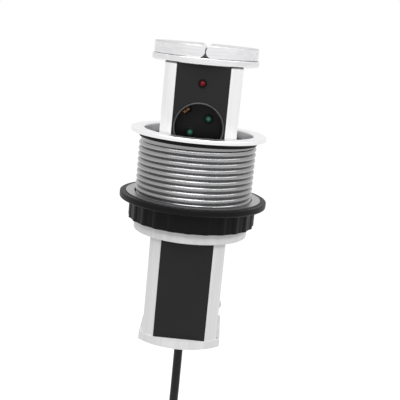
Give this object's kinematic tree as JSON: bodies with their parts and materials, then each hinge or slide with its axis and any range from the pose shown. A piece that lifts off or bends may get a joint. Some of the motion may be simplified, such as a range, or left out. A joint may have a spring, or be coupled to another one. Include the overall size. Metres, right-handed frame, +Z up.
{
  "type": "built-in socket unit",
  "caption": "Pull-up socket tower for a worktop hole: a round sleeve clamped by a ring nut, a sliding tower with plug sockets, a hinged two-wing lid, a light and a mains cord.",
  "frame": {"origin": "centre of the worktop hole, on the worktop's top surface under the ring", "axes": "+Z up along the tower's travel, -Y out of the sockets' faces, +X to the right seen from the front"},
  "size_m": [0.1391, 0.129, 0.522],
  "materials": {
    "ring_metal": "satin turned",
    "sleeve_silver": "smooth satin",
    "seal_rubber": "matt",
    "white_plastic": "fine matt",
    "pad_felt": "felt",
    "washer_steel": "turned",
    "nut_plastic": "fine grain",
    "panel_plastic": "semi matt",
    "screw_steel": "zinc plated",
    "lid_metal": "straight brushed",
    "hinge_steel": "plain",
    "dish_plastic": "semi matt",
    "shutter_green": "semi matt",
    "chassis_plastic": "matt",
    "contact_brass": "plain",
    "bezel_plastic": "gloss",
    "light_red": "gloss, tinted",
    "board_green": "plain",
    "terminal_ivory": "matt",
    "cord_black": "semi matt",
    "tie_black": "woven",
    "plug_black": "semi matt",
    "pin_nickel": "nickel plated"
  },
  "bodies": {
    "sleeve": {"trim_ring": "ring_metal", "mounting_sleeve": "sleeve_silver", "lid_ledges": "sleeve_silver", "sleeve_thread": "sleeve_silver", "flange_seal": "seal_rubber", "guide_collar": "white_plastic", "friction_pads": "pad_felt"},
    "tower": {"front_panel": "panel_plastic", "rear_panel": "panel_plastic", "left_rail": "white_plastic", "right_rail": "white_plastic", "stop_catches": "white_plastic", "bottom_cap": "white_plastic", "cap_screws": "screw_steel", "lid_base": "lid_metal", "lid_screws": "screw_steel", "hinge_brackets": "hinge_steel", "bracket_screws": "screw_steel", "hinge_pins": "hinge_steel", "upper_socket_dish": "dish_plastic", "lower_socket_dish": "dish_plastic", "dish_screws": "screw_steel", "inner_chassis": "chassis_plastic", "live_contacts": "contact_brass", "neutral_contacts": "contact_brass", "earth_clips": "contact_brass", "light_bezel": "bezel_plastic", "light_dome": "light_red", "light_board": "board_green", "terminal_block": "terminal_ivory", "terminal_screws": "screw_steel", "inner_cable": "cord_black", "clamp_bar": "chassis_plastic", "clamp_screws": "screw_steel", "cord_grommet": "seal_rubber", "cord_lead": "cord_black", "cord_coil": "cord_black", "coil_tie": "tie_black", "plug_body": "plug_black", "plug_pins": "pin_nickel", "plug_earth_strips": "pin_nickel"},
    "washer": {"clamp_washer": "washer_steel"},
    "nut": {"ring_nut": "nut_plastic", "nut_thread": "nut_plastic"},
    "left_lid_wing": {"left_wing": "lid_metal"},
    "right_lid_wing": {"right_wing": "lid_metal"},
    "upper_socket_shutter": {"upper_shutter": "shutter_green"},
    "lower_socket_shutter": {"lower_shutter": "shutter_green"}
  },
  "joints": [
    {"name": "tower_lift", "type": "slide", "parent": "sleeve", "child": "tower", "axis": [0, 0, 1], "range_m": [-0.07445, 0.0765]},
    {"name": "left_wing_hinge", "type": "hinge", "parent": "tower", "child": "left_lid_wing", "pos_m": [-0.0055, 0, 0.07285], "axis": [0, 1, 0], "range_deg": [0, 90]},
    {"name": "right_wing_hinge", "type": "hinge", "parent": "tower", "child": "right_lid_wing", "pos_m": [0.0055, 0, 0.07285], "axis": [0, -1, 0], "range_deg": [0, 90]},
    {"name": "nut_climb", "type": "slide", "parent": "sleeve", "child": "washer", "axis": [0, 0, 1], "range_m": [-0.0075, 0.04]},
    {"name": "nut_spin", "type": "hinge", "parent": "washer", "child": "nut", "pos_m": [0, 0, -0.0636], "axis": [0, 0, 1], "range_deg": [-540, 2880]},
    {"name": "upper_shutter_turn", "type": "hinge", "parent": "tower", "child": "upper_socket_shutter", "pos_m": [0, -0.0197, 0.0105], "axis": [0, -1, 0], "range_deg": [0, 45], "stiffness_Nm_per_rad": 0.002},
    {"name": "lower_shutter_turn", "type": "hinge", "parent": "tower", "child": "lower_socket_shutter", "pos_m": [0, -0.0197, -0.0345], "axis": [0, -1, 0], "range_deg": [0, 45], "stiffness_Nm_per_rad": 0.002}
  ],
  "couplings": [
    {"joint": "nut_climb", "follows": "nut_spin", "m_per_rad": 0.00079577}
  ]
}
